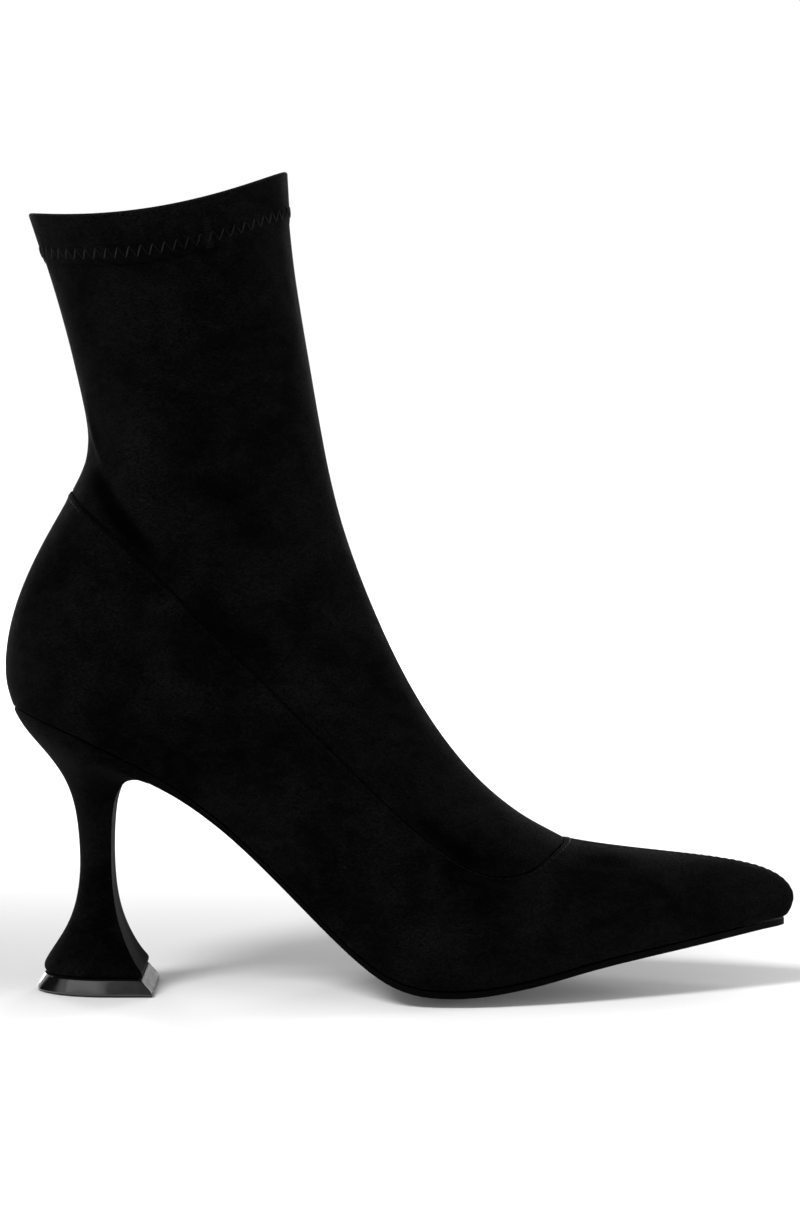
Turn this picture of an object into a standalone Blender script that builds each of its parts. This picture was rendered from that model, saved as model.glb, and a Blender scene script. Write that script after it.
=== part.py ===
"""Sock ankle boot with a pointed toe and a waisted, flared heel: right foot, about EU 37.

Frame: metres, +X to the toe, +Y to the inner side of the foot, +Z up, standing on z = 0.
Tables and sizes below are in millimetres.
"""
from collections import namedtuple

import bpy
import numpy as np

MM = 0.001

# Driving dimensions
GAP = 0.3                # clearance between pieces that meet
SEAM_GAP = 0.5           # clearance between the rims of upper and shaft
UPPER_WALL = 1.8         # suede with its lining
SHAFT_WALL = 1.4         # stretch suede
SOLE_THICK = 2.0
SOLE_SWELL = 1.0         # added under the outsole's end at the heel, so that it runs on from the heel's arch
SWELL_REACH = 17.0       # length over which that dies away
SOLE_INSET = 0.6         # sole edge inside the feather line
INSOLE_THICK = 2.2
INSOLE_PLAY = 1.0        # insole edge inside the upper's wall
INSOLE_BED = 0.5         # insole above the sole, which sags in coarser facets
SEAT_GAP = 0.5           # heel seat below the feather line
LIFT_HIGH = 5.6
LIFT_EDGE = 0.6          # rounded edge at the foot of the lift
HEEL_LIP_X = -75.6       # front edge of the heel seat, where the outsole butts on
SOLE_TOE = 0.55          # place in the table below where the outsole ends at the toe
INSOLE_TOE = 0.8         # the same for the insole
INSOLE_HEEL = 19.6       # and for its other end, at the back of the heel

# Mesh density
COLUMNS = 34             # from the back of the heel to the toe, on each side
UPPER_ROWS = 11
SHAFT_ROWS = 15
CROWDING = 0.45          # 1 spaces the columns evenly, less draws them to heel and toe
UPPER_PULL = 1.4         # 1 spaces the rows evenly, more draws them to the lower border
SHAFT_PULL = 1.0         # the same for the shaft
HEEL_COLUMNS = 14        # on each side of a heel ring
SOLE_STATIONS = 38
INSOLE_STATIONS = 40
SOLE_STRIPS = 8
INSOLE_STRIPS = 6
DENSE = 240              # samples of a line before it is spaced out
GUIDES = 61              # lines of the side-view net under a skin
GUIDE_CROWDING = 0.3     # as for the columns
RELAXINGS = 900          # passes that even out that net
FAIRINGS = 12            # passes that ease small kinks out of the skin
EASE, REGAIN = 0.5, -0.53    # strength of a pass and of the one that gives the bulk back
HALVINGS = 45            # steps in the search for the section through a point
FRONT_PULL = 2.5         # the higher, the fewer columns at the front corners of a heel ring
SHARP_ANGLE = 40         # degrees between faces that meet in a hard edge

# Sections of the last, from the toe back round the heel and up to the collar.
# foot: end on the feather line, or on the back line above the heel. crown: end on the toe ridge,
# instep or shin. bow: bulge of the section's line to the front or down. outer, inner: half widths.
# tuck: half width at the foot end over the widest one. belly: where it is widest, 0 foot to 1 crown.
# round: 2 for an oval crown, less for a ridge. swing: middle line to the inner side.
# sag: how far the sole's middle hangs below its edge.
Section = namedtuple("Section", "name foot_x foot_z crown_x crown_z bow outer inner tuck belly round swing sag")
LAST = [
    Section("nose", 119.6, 22.4, 119.7, 33.2, 2.4, 0.0, 0.0, 0.90, 0.34, 1.9, 3.5, 0.2),
    Section("nose_30", 118.6, 22.2, 118.5, 33.9, 2.2, 3.5, 3.5, 0.90, 0.34, 1.9, 3.5, 0.3),
    Section("nose_60", 116.0, 21.9, 115.7, 35.6, 1.4, 6.5, 6.5, 0.90, 0.34, 1.9, 3.5, 0.5),
    Section("toe_tip", 111.4, 21.4, 110.7, 37.5, 0.4, 9.2, 9.3, 0.91, 0.34, 1.85, 3.4, 0.8),
    Section("toe_front", 102.0, 19.9, 101.5, 39.5, 0.0, 13.7, 14.0, 0.92, 0.33, 1.8, 3.1, 1.3),
    Section("toe", 90.0, 18.0, 89.5, 41.3, 0.0, 19.2, 19.8, 0.93, 0.32, 1.75, 2.6, 1.9),
    Section("toe_back", 74.0, 15.5, 76.0, 42.8, 0.0, 25.6, 26.6, 0.94, 0.31, 1.7, 1.9, 2.7),
    Section("vamp", 57.0, 12.6, 63.0, 44.5, 0.0, 31.4, 32.7, 0.945, 0.30, 1.65, 1.1, 3.5),
    Section("throat", 40.0, 9.2, 51.5, 46.3, 0.0, 35.7, 37.0, 0.945, 0.29, 1.6, 0.4, 4.2),
    Section("ball_front", 23.0, 6.7, 41.0, 50.9, 0.0, 38.0, 38.5, 0.94, 0.28, 1.6, -0.2, 4.7),
    Section("ball_back", 7.0, 7.0, 29.3, 60.4, 0.0, 38.1, 37.3, 0.93, 0.28, 1.65, -0.6, 4.9),
    Section("tread_end", -6.0, 10.9, 18.5, 71.6, 0.0, 36.4, 34.6, 0.91, 0.29, 1.7, -0.9, 3.4),
    Section("waist_front", -20.0, 22.3, 8.5, 85.4, 0.0, 33.2, 31.2, 0.87, 0.31, 1.75, -1.0, 2.0),
    Section("waist", -36.0, 38.0, -0.9, 101.8, 0.0, 30.6, 28.8, 0.81, 0.34, 1.8, -0.9, 1.2),
    Section("shank", -52.0, 53.0, -8.8, 120.0, 0.0, 29.2, 27.9, 0.77, 0.37, 1.85, -0.6, 0.8),
    Section("shank_back", -68.0, 65.0, -14.4, 133.4, 0.0, 28.9, 28.2, 0.79, 0.39, 1.9, -0.3, 0.4),
    Section("breast", -82.0, 73.2, -17.4, 142.4, 0.0, 29.2, 28.8, 0.84, 0.40, 1.9, 0.0, 0.0),
    Section("heel_90", -94.0, 79.3, -19.2, 149.6, 0.0, 29.4, 29.2, 0.86, 0.40, 1.9, 0.0, 0.0),
    Section("heel_60", -106.2, 84.5, -20.2, 153.6, 0.0, 29.5, 29.4, 0.74, 0.40, 1.9, 0.0, 0.0),
    Section("heel_30", -115.1, 87.6, -20.9, 155.8, 0.0, 29.5, 29.5, 0.43, 0.40, 1.9, 0.0, 0.0),
    Section("heel_back", -118.7, 88.7, -21.2, 157.2, 0.0, 29.4, 29.4, 0.0, 0.40, 1.9, 0.0, 0.0),
    Section("counter_low", -120.4, 100.0, -21.9, 161.5, 0.0, 29.2, 29.2, 0.0, 0.41, 1.9, 0.0, 0.0),
    Section("counter", -117.8, 116.5, -23.3, 169.0, 0.0, 28.9, 28.9, 0.0, 0.43, 1.95, 0.0, 0.0),
    Section("counter_top", -109.6, 136.0, -25.3, 179.5, 0.0, 28.5, 28.5, 0.0, 0.45, 2.0, 0.0, 0.0),
    Section("ankle_low", -100.2, 152.6, -27.0, 189.5, 0.0, 28.2, 28.2, 0.0, 0.47, 2.0, 0.0, 0.0),
    Section("ankle", -94.9, 167.0, -28.6, 199.5, 0.4, 28.2, 28.2, 0.0, 0.48, 2.0, 0.0, 0.0),
    Section("shaft_low", -98.0, 188.0, -30.6, 211.5, 1.4, 28.8, 28.8, 0.0, 0.49, 2.0, 0.0, 0.0),
    Section("shaft_top", -104.4, 213.0, -33.1, 228.5, 2.8, 30.0, 30.0, 0.0, 0.50, 2.0, 0.0, 0.0),
    Section("collar", -112.2, 237.4, -34.4, 250.0, 5.2, 31.4, 31.4, 0.0, 0.50, 2.0, 0.0, 0.0),
]

# Bends of the seam between upper and shaft in the side view, from the back line to the toe ridge
Bend = namedtuple("Bend", "x z")
SEAM = [
    Bend(-99.5, 153.6),
    Bend(-77.0, 134.0),
    Bend(-45.8, 102.7),
    Bend(-5.6, 62.5),
    Bend(12.0, 47.3),
    Bend(23.0, 40.6),
    Bend(31.5, 38.7),
    Bend(39.5, 40.1),
    Bend(46.0, 43.9),
    Bend(50.6, 46.6),
]

# Rings of the heel block, from the lift up to the heel seat. half: half width.
# full: share of the depth over which the round back reaches that width.
Ring = namedtuple("Ring", "back_x back_z front_x front_z half full")
HEEL = [
    Ring(-108.8, 5.9, -78.5, 5.9, 15.4, 0.60),
    Ring(-109.7, 7.3, -78.0, 7.3, 16.1, 0.60),
    Ring(-108.9, 9.6, -80.2, 9.6, 14.8, 0.60),
    Ring(-105.5, 14.5, -82.9, 14.5, 12.8, 0.62),
    Ring(-102.0, 20.0, -85.2, 20.0, 10.8, 0.64),
    Ring(-99.4, 27.0, -87.1, 27.0, 9.0, 0.66),
    Ring(-98.1, 36.0, -88.0, 36.0, 7.9, 0.68),
    Ring(-98.3, 46.0, -88.1, 46.0, 7.7, 0.68),
    Ring(-99.4, 56.0, -87.6, 55.5, 8.9, 0.66),
    Ring(-101.6, 63.2, -86.4, 61.0, 11.6, 0.64),
    Ring(-104.8, 69.0, -84.2, 64.6, 15.2, 0.62),
    Ring(-109.5, 75.0, -81.2, 66.0, 19.2, 0.60),
    Ring(-115.0, 81.2, -78.2, 66.3, 22.2, 0.59),
    Ring(-118.0, 86.4, HEEL_LIP_X, 65.9, 23.7, 0.58),
]

# Rings of the lift, from its foot up
LIFT = [
    Ring(-110.8, 0.0, -75.5, 0.0, 16.5, 0.60),
    Ring(-111.4, LIFT_EDGE, -74.9, LIFT_EDGE, 17.1, 0.60),
    Ring(-110.0, LIFT_HIGH - LIFT_EDGE, -77.2, LIFT_HIGH - LIFT_EDGE, 16.5, 0.60),
    Ring(-109.4, LIFT_HIGH, -77.8, LIFT_HIGH, 16.1, 0.60),
]

# Colour (linear), roughness and metallic value of each finish
Finish = namedtuple("Finish", "red green blue roughness metallic")
FINISHES = {
    "suede": Finish(0.006, 0.006, 0.006, 0.95, 0.0),
    "sole_sheet": Finish(0.010, 0.010, 0.010, 0.55, 0.0),
    "gloss_plastic": Finish(0.008, 0.008, 0.009, 0.12, 0.0),
    "lining": Finish(0.012, 0.012, 0.012, 0.90, 0.0),
}

COLUMN = {field: np.array([getattr(row, field) for row in LAST]) for field in Section._fields[1:]}
PLACE = {row.name: number for number, row in enumerate(LAST)}
OUTER, INNER = -1.0, 1.0


def smooth(values, place):
    """Value of a column at a place between its rows, on a smooth curve through them."""
    place = np.asarray(place, float)
    low = np.clip(place.astype(int), 0, len(values) - 2)
    part = place - low
    padded = np.concatenate(([2 * values[0] - values[1]], values, [2 * values[-1] - values[-2]]))
    before, start, end, after = (padded[low + step] for step in range(4))
    leaving = (end - before) / 2
    arriving = (after - start) / 2
    rise = end - start
    return start + part * (leaving + part * (3 * rise - 2 * leaving - arriving
                                             + part * (leaving + arriving - 2 * rise)))


def section_line(place):
    """Foot point, run to the crown and bow of the section at a place, in the side view (x, z)."""
    foot = np.stack([smooth(COLUMN["foot_x"], place), smooth(COLUMN["foot_z"], place)], -1)
    crown = np.stack([smooth(COLUMN["crown_x"], place), smooth(COLUMN["crown_z"], place)], -1)
    return foot, crown - foot, smooth(COLUMN["bow"], place)


def forward(run):
    """Unit vector square to a section's run, to the toe at the foot and down at the shaft."""
    return np.stack([run[..., 1], -run[..., 0]], -1) / np.linalg.norm(run, axis=-1)[..., None]


def side_point(place, share):
    """Side-view point at a share of the way from a section's foot to its crown."""
    foot, run, bow = section_line(place)
    bulge = bow * 4 * share * (1 - share)
    return foot + share[..., None] * run + bulge[..., None] * forward(run)


def half_width(place, share, side):
    """Half width of the section at a place, at a share of the way up it."""
    widest = np.maximum(smooth(COLUMN["outer" if side == OUTER else "inner"], place), 0)
    tuck = np.maximum(smooth(COLUMN["tuck"], place), 0)
    belly = smooth(COLUMN["belly"], place)
    below = np.clip((belly - share) / belly, 0, 1)
    above = np.clip((share - belly) / (1 - belly), 0, 1)
    return widest * np.sqrt((1 - (1 - tuck ** 2) * below ** 2) * (1 - above ** smooth(COLUMN["round"], place)))


def last_point(place, share, side):
    """Point (x, y, z) of the last."""
    flat = side_point(place, share)
    wide = smooth(COLUMN["swing"], place) + side * half_width(place, share, side)
    return np.stack([flat[..., 0], wide, flat[..., 1]], -1)


def locate(points):
    """Place and share of side-view points."""
    low = np.zeros(len(points))
    high = np.full(len(points), len(LAST) - 1.0)
    for _ in range(HALVINGS):
        middle = (low + high) / 2
        foot, run, bow = section_line(middle)
        share = np.sum((points - foot) * run, -1) / np.sum(run * run, -1)
        ahead = np.sum((points - foot) * forward(run), -1) > bow * 4 * share * (1 - share)
        high = np.where(ahead, middle, high)
        low = np.where(ahead, low, middle)
    return middle, np.clip(share, 0, 1)


def side_track(place, share):
    """Side-view line as complex numbers, x + i z, which turn and stretch by one product."""
    flat = side_point(place, share)
    return flat[..., 0] + 1j * flat[..., 1]


def divided(track, parts):
    """Points at parts of a line's length."""
    reach = np.concatenate([[0], np.cumsum(np.abs(np.diff(track)))])
    return np.interp(parts * reach[-1], reach, track)


def feather_line():
    """Feather line from the back of the heel to the nose."""
    return side_track(np.linspace(PLACE["heel_back"], 0, DENSE), np.zeros(DENSE))


def seam_line():
    """Seam from the back line to the toe ridge."""
    bends = np.linspace(0, len(SEAM) - 1, DENSE)
    return (smooth(np.array([bend.x for bend in SEAM]), bends)
            + 1j * smooth(np.array([bend.z for bend in SEAM]), bends))


def collar_line():
    """Collar edge from the back line to the shin."""
    return side_track(np.full(DENSE, float(PLACE["collar"])), np.linspace(0, 1, DENSE))


def back_line(start, end):
    """Back line between two places."""
    return side_track(np.linspace(start, end, DENSE), np.zeros(DENSE))


def front_line(start, end):
    """Toe ridge, instep or shin between two places."""
    return side_track(np.linspace(start, end, DENSE), np.ones(DENSE))


def nose_line():
    """Nose of the toe from the feather line up to the ridge."""
    return side_track(np.zeros(DENSE), np.linspace(0, 1, DENSE))


def crowded(count, crowding):
    """Parts from 0 to 1, even for a crowding of 1 and drawn to both ends for less."""
    even = np.linspace(0, 1, count)
    return crowding * even + (1 - crowding) * (1 - np.cos(np.pi * even)) / 2


def relaxed(net):
    """A side-view net whose lines run smoothly from border to border and never cross."""
    for _ in range(RELAXINGS):
        along = (net[1:-1, 2:] - net[1:-1, :-2]) / 2
        upward = (net[2:, 1:-1] - net[:-2, 1:-1]) / 2
        twist = (net[2:, 2:] - net[2:, :-2] - net[:-2, 2:] + net[:-2, :-2]) / 2
        row_pull = np.abs(upward) ** 2
        column_pull = np.abs(along) ** 2
        skew = (along * upward.conj()).real
        net[1:-1, 1:-1] = (row_pull * (net[1:-1, 2:] + net[1:-1, :-2])
                           + column_pull * (net[2:, 1:-1] + net[:-2, 1:-1])
                           - skew * twist) / (2 * (row_pull + column_pull))
    return net


def skin(bottom, top, back, front, rows, pull, side):
    """Grid of points on the last in rows that go over from the bottom line's shape to the top line's."""
    rise = np.linspace(0, 1, rows + 1)[:, None] ** pull
    starts = divided(back, rise)
    spans = divided(front, rise) - starts
    low, high = (divided(line, crowded(GUIDES, GUIDE_CROWDING)) for line in (bottom, top))
    low_shape, high_shape = ((line - line[0]) / (line[-1] - line[0]) for line in (low, high))
    net = relaxed(starts + spans * ((1 - rise) * low_shape + rise * high_shape))
    grid = []
    for row in net:
        track = divided(row, crowded(DENSE, 0))
        points = last_point(*locate(np.stack([track.real, track.imag], -1)), side)
        reach = np.concatenate([[0], np.cumsum(np.linalg.norm(np.diff(points, axis=0), axis=1))])
        stops = crowded(COLUMNS + 1, CROWDING) * reach[-1]
        grid.append(np.stack([np.interp(stops, reach, points[:, axis]) for axis in range(3)], -1))
    return np.array(grid)


def side_grids(side):
    """Outer skin of upper and shaft on one side, from the back line to the toe."""
    seam = seam_line()
    (ankle, throat), _ = locate(np.array([[SEAM[0].x, SEAM[0].z], [SEAM[-1].x, SEAM[-1].z]]))
    toe = np.concatenate([nose_line(), front_line(0, throat)])
    upper = skin(feather_line(), seam, back_line(PLACE["heel_back"], ankle), toe,
                 UPPER_ROWS, UPPER_PULL, side)
    shaft = skin(seam, collar_line(), back_line(ankle, PLACE["collar"]),
                 front_line(throat, PLACE["collar"]), SHAFT_ROWS, SHAFT_PULL, side)
    return upper, shaft


def faired(grid):
    """A round grid with small kinks eased out between its first and last rows."""
    grid = grid.copy()
    for strength in (EASE, REGAIN) * FAIRINGS:
        around = (np.roll(grid, 1, axis=1) + np.roll(grid, -1, axis=1))[1:-1]
        grid[1:-1] += strength * ((around + grid[:-2] + grid[2:]) / 4 - grid[1:-1])
    return grid


def closed_round(outer_side, inner_side):
    """Both sides as one grid that runs round the boot: back, outer side, toe, inner side."""
    return np.concatenate([outer_side, inner_side[:, -2:0:-1]], axis=1)


def pulled_back(row, neighbour):
    """A border row drawn towards its neighbour by half the gap at the seam."""
    pull = neighbour - row
    return row + pull / np.linalg.norm(pull, axis=1)[:, None] * SEAM_GAP / 2


def feather_track():
    """Feather line by its length along X, for heights and widths of what lies under the upper."""
    place = np.linspace(PLACE["heel_back"], 0, DENSE)
    foot, _, _ = section_line(place)
    foot_end = np.zeros(DENSE)
    return {"x": foot[:, 0], "z": foot[:, 1], "sag": np.maximum(smooth(COLUMN["sag"], place), 0),
            "swing": smooth(COLUMN["swing"], place), "outer": half_width(place, foot_end, OUTER),
            "inner": half_width(place, foot_end, INNER), "place": place}


FEATHER = feather_track()


def along_feather(name, x):
    """A value of the feather line at x."""
    return np.interp(x, FEATHER["x"], FEATHER[name])


def sole_top(x, y):
    """Height of the outsole's upper face: it meets the feather line and sags between its edges."""
    offset = y - along_feather("swing", x)
    edge = np.where(offset < 0, along_feather("outer", x), along_feather("inner", x))
    across = np.clip(np.abs(offset) / np.maximum(edge, 1.0), 0, 1)
    free = along_feather("z", x) - GAP - along_feather("sag", x) * (1 - across ** 2)
    return np.maximum(free, SOLE_THICK)


def inset_edge(place, side, inset):
    """Feather line of one side in plan, moved in by inset."""
    edge = last_point(place, np.zeros(len(place)), side)[:, :2]
    run = np.gradient(edge, axis=0)
    inward = np.stack([run[:, 1], -run[:, 0]], -1) / np.linalg.norm(run, axis=1)[:, None]
    return edge + side * inset * inward


def plan_grid(first, last, stations, strips, inset):
    """Plan points of a plate inside the feather line, in strips from the outer to the inner edge."""
    place = np.linspace(first, last, stations)
    outer_edge = inset_edge(place, OUTER, inset)
    inner_edge = inset_edge(place, INNER, inset)
    across = np.linspace(0, 1, strips + 1)[None, :, None]
    return (1 - across) * outer_edge[:, None] + across * inner_edge[:, None]


def finish(name):
    """Material of a named finish."""
    look = FINISHES[name]
    material = bpy.data.materials.get(name) or bpy.data.materials.new(name)
    material.use_nodes = True
    shader = material.node_tree.nodes["Principled BSDF"]
    shader.inputs["Base Color"].default_value = (look.red, look.green, look.blue, 1)
    shader.inputs["Roughness"].default_value = look.roughness
    shader.inputs["Metallic"].default_value = look.metallic
    return material


def add_piece(name, points, faces, finish_name, collection):
    """Mesh object of one piece, from points in millimetres."""
    mesh = bpy.data.meshes.new(name)
    mesh.from_pydata((np.asarray(points) * MM).tolist(), [], faces)
    mesh.update()
    mesh.shade_smooth()
    mesh.set_sharp_from_angle(angle=np.radians(SHARP_ANGLE))
    mesh.materials.append(finish(finish_name))
    piece = bpy.data.objects.new(name, mesh)
    collection.objects.link(piece)
    return piece


def add_wall(name, grid, wall, finish_name, collection):
    """Hollow shell of a grid that runs round the boot, thickened inwards."""
    rows, columns = grid.shape[:2]
    faces = []
    for row in range(rows - 1):
        for column in range(columns):
            after = (column + 1) % columns
            faces.append((row * columns + column, row * columns + after,
                          (row + 1) * columns + after, (row + 1) * columns + column))
    shell = add_piece(name, grid.reshape(-1, 3), faces, finish_name, collection)
    solidify = shell.modifiers.new("wall", "SOLIDIFY")
    solidify.thickness = wall * MM
    solidify.offset = -1
    solidify.use_quality_normals = True
    return shell


def add_plate(name, plan, low, high, finish_name, collection):
    """Curved plate over a plan grid, between its lower and upper heights."""
    stations, strips = plan.shape[:2]
    size = stations * strips
    points = np.concatenate([np.dstack([plan, high]).reshape(-1, 3), np.dstack([plan, low]).reshape(-1, 3)])
    faces = []
    for station in range(stations - 1):
        for strip in range(strips - 1):
            corner = station * strips + strip
            loop = (corner, corner + strips, corner + strips + 1, corner + 1)
            faces.append(loop)
            faces.append(tuple(index + size for index in loop[::-1]))
    border = ([station * strips for station in range(stations)]
              + [(stations - 1) * strips + strip for strip in range(1, strips)]
              + [station * strips + strips - 1 for station in range(stations - 2, -1, -1)]
              + [strip for strip in range(strips - 2, 0, -1)])
    for start, end in zip(border, border[1:] + border[:1]):
        faces.append((end, start, start + size, end + size))
    return add_piece(name, points, faces, finish_name, collection)


def ring_points(ring):
    """Points of a D-shaped ring: back, outer side to the front, inner side to the front."""
    turn = np.linspace(0, 1, HEEL_COLUMNS + 1)
    depth = ring.full * (1 - np.cos(turn * np.pi / 2)) + (1 - ring.full) * turn ** FRONT_PULL
    bend = np.clip(1 - depth / ring.full, 0, 1)
    wide = ring.half * np.sqrt(1 - bend ** 2)
    x = ring.back_x + depth * (ring.front_x - ring.back_x)
    z = ring.back_z + depth * (ring.front_z - ring.back_z)
    outer_side = np.stack([x, -wide, z], -1)
    inner_side = np.stack([x, wide, z], -1)
    return np.concatenate([outer_side, inner_side[1:]])


def seat_ring():
    """Top ring of the heel, lying under the upper along the feather line."""
    seat = ring_points(HEEL[-1])
    seat[:, 2] = along_feather("z", seat[:, 0]) - SEAT_GAP
    return seat


def add_block(name, rings, finish_name, collection):
    """Solid lofted through D-shaped rings, with its ends closed by strips from side to side."""
    count = len(rings[0])
    outer_line = list(range(HEEL_COLUMNS + 1))
    inner_line = [0] + list(range(HEEL_COLUMNS + 1, count))
    loop = outer_line + inner_line[:0:-1]
    faces = []
    for level in range(len(rings) - 1):
        base = level * count
        for start, end in zip(loop, loop[1:] + loop[:1]):
            faces.append((base + start, base + end, base + count + end, base + count + start))
    top = (len(rings) - 1) * count
    for step in range(HEEL_COLUMNS):
        strip = [outer_line[step], outer_line[step + 1], inner_line[step + 1]]
        if step:
            strip.append(inner_line[step])
        faces.append(tuple(strip[::-1]))
        faces.append(tuple(top + index for index in strip))
    return add_piece(name, np.concatenate(rings), faces, finish_name, collection)


def build_boot(collection):
    """All the pieces of the boot."""
    outer_upper, outer_shaft = side_grids(OUTER)
    inner_upper, inner_shaft = side_grids(INNER)
    upper = faired(closed_round(outer_upper, inner_upper))
    shaft = faired(closed_round(outer_shaft, inner_shaft))
    upper[-1] = pulled_back(upper[-1], upper[-2])
    shaft[0] = pulled_back(shaft[0], shaft[1])

    lip_place = np.interp(HEEL_LIP_X + GAP, FEATHER["x"], FEATHER["place"])
    sole_plan = plan_grid(lip_place, SOLE_TOE, SOLE_STATIONS, SOLE_STRIPS, SOLE_INSET)
    sole_high = sole_top(sole_plan[..., 0], sole_plan[..., 1])
    swell = SOLE_SWELL * np.clip(1 - (sole_plan[..., 0] - HEEL_LIP_X) / SWELL_REACH, 0, 1) ** 2
    insole_plan = plan_grid(INSOLE_HEEL, INSOLE_TOE, INSOLE_STATIONS, INSOLE_STRIPS, UPPER_WALL + INSOLE_PLAY)
    insole_low = sole_top(insole_plan[..., 0], insole_plan[..., 1]) + INSOLE_BED

    return [
        add_wall("upper", upper, UPPER_WALL, "suede", collection),
        add_wall("shaft", shaft, SHAFT_WALL, "suede", collection),
        add_plate("outsole", sole_plan, sole_high - SOLE_THICK - swell, sole_high, "sole_sheet", collection),
        add_plate("insole", insole_plan, insole_low, insole_low + INSOLE_THICK, "lining", collection),
        add_block("heel", [ring_points(ring) for ring in HEEL] + [seat_ring()], "suede", collection),
        add_block("heel_lift", [ring_points(ring) for ring in LIFT], "gloss_plastic", collection),
    ]


def centre(pieces):
    """Place the pieces so that the middle of the boot's box stands over the origin."""
    corners = np.concatenate([np.array([vertex.co for vertex in piece.data.vertices]) for piece in pieces])
    middle = (corners.min(axis=0) + corners.max(axis=0)) / 2
    for piece in pieces:
        piece.location = (-middle[0], -middle[1], 0)


def main():
    for leftover in list(bpy.data.objects):
        bpy.data.objects.remove(leftover, do_unlink=True)
    collection = bpy.data.collections.new("sock_ankle_boot")
    bpy.context.scene.collection.children.link(collection)
    centre(build_boot(collection))


main()
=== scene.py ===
"""Looks of the sock ankle boot.

Suede skins with their folds, seams and stitches, covered heel, glossy lift, sole, insole and studio.
Meshes are in metres in the part's own frame. Sizes and tables are in millimetres of the boot, and those
of the studio in metres.
"""
import math
from collections import namedtuple

import bmesh
import bpy
import numpy as np
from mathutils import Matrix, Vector


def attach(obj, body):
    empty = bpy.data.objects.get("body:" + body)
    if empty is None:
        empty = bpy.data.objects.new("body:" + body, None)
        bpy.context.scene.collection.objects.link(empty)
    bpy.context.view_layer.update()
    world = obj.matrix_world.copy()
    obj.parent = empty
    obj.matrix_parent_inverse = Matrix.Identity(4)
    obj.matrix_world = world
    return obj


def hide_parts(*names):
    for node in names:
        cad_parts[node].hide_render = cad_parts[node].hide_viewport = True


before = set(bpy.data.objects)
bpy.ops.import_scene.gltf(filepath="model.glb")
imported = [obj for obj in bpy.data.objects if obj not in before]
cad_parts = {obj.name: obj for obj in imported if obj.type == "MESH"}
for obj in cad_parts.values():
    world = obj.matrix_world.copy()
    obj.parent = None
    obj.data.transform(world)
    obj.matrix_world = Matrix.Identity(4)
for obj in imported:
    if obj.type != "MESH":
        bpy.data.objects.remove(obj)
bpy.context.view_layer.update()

MM = 0.001

# Sizes of the skins
UPPER_WALL = 1.8
SHAFT_WALL = 1.4
COLUMNS_EACH = 5          # fine columns for each column of the CAD skin
TOE_EACH = 14             # the same beside the toe seam
TOE_FINE = 2              # CAD columns each side of the toe seam that are so fine
TOE_NEAR = 4              # CAD columns each side of it that are measured from it
SAME_POINT = 1e-6         # metres between points that are one
SKIN_EDGE = 62            # degrees between faces where a skin ends at its rim
FLAT_JOIN = 60            # degrees up to which two triangles become one face
RIM_STEPS = 5             # points over a rounded rim
UPPER_ROWS = 67           # even rows up the upper, with finer ones at its foot and below its seam
UPPER_FOOT_ROWS = [0.03, 0.08]
UPPER_SEAM_ROWS = [0.02, 0.05, 0.1, 0.22, 0.38]
SHAFT_ROWS = 91           # even rows up the shaft, with finer ones above its seam
SHAFT_SEAM_ROWS = [0.02, 0.05, 0.1]
SEAM_RIM = 0.55           # how far a rim at the seam rounds over
SEAM_CLOSE = 0.15         # how far it reaches past the CAD rim, to close the seam
SEAM_FAINT = 0.85         # painted seam shade and stitch glint lost toward the top of the vamp
SEAM_FAINT_X = (38, 46)   # where along the boot that comes on
FEATHER_RIM = 0.5
COLLAR_RIM = 0.7
LAP_RISE = 0.3            # the upper's edge stands this much over the shaft
LAP_REACH = 4.0           # width of that band
LAP_FAINT = 0.75          # how much of the lap is lost toward the top of the vamp
LAP_FAINT_X = (36, 50)    # where along the boot that comes on
HEM_DEEP = 14.6           # folded hem below the collar edge
HEM_RISE = 0.38
HEM_STEP = 0.7            # half width of the step under it
LIFT_FOOT = 0.55          # matt tread at the foot of the lift
LIFT_LEDGE = 5.1          # height from which its upper edge is matt
LIFT_FRONT = 0.6          # how far forward a satin face of its front looks
LIFT_IN = 0.9             # how far its front leans in to the heel at the top, and its back half as far
LIFT_OUT = 0.5            # how far its back flares out at the foot
HARD_EDGE = 50            # degrees between faces that meet in an edge to be rounded
SOLE_EDGE = 0.25          # how wide each piece's hard edges are rounded
HEEL_EDGE = 0.35
LIFT_EDGE = 0.3
INSOLE_EDGE = 0.3
HEEL_ROLL = (6.5, 8.5)    # heights between which the heel's cover rolls in over the lift
LIP_FORWARD = 0.2         # how far the heel's lip is drawn on to the sole
LIP_UP = 0.3              # how far its lower edge is drawn up to the sole's
BALL_DOWN = 1.0           # how far the edges of the ball are let down at its widest
BALL_ALONG = (-12, 8, 40, 70)    # where along the boot that begins, is full, is still full and ends
BALL_FLAT = 8             # half width of the flat spot on the floor
BALL_HALF = 35            # half width of the ball
BALL_UP = (9, 24)         # heights between which it dies away

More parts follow.
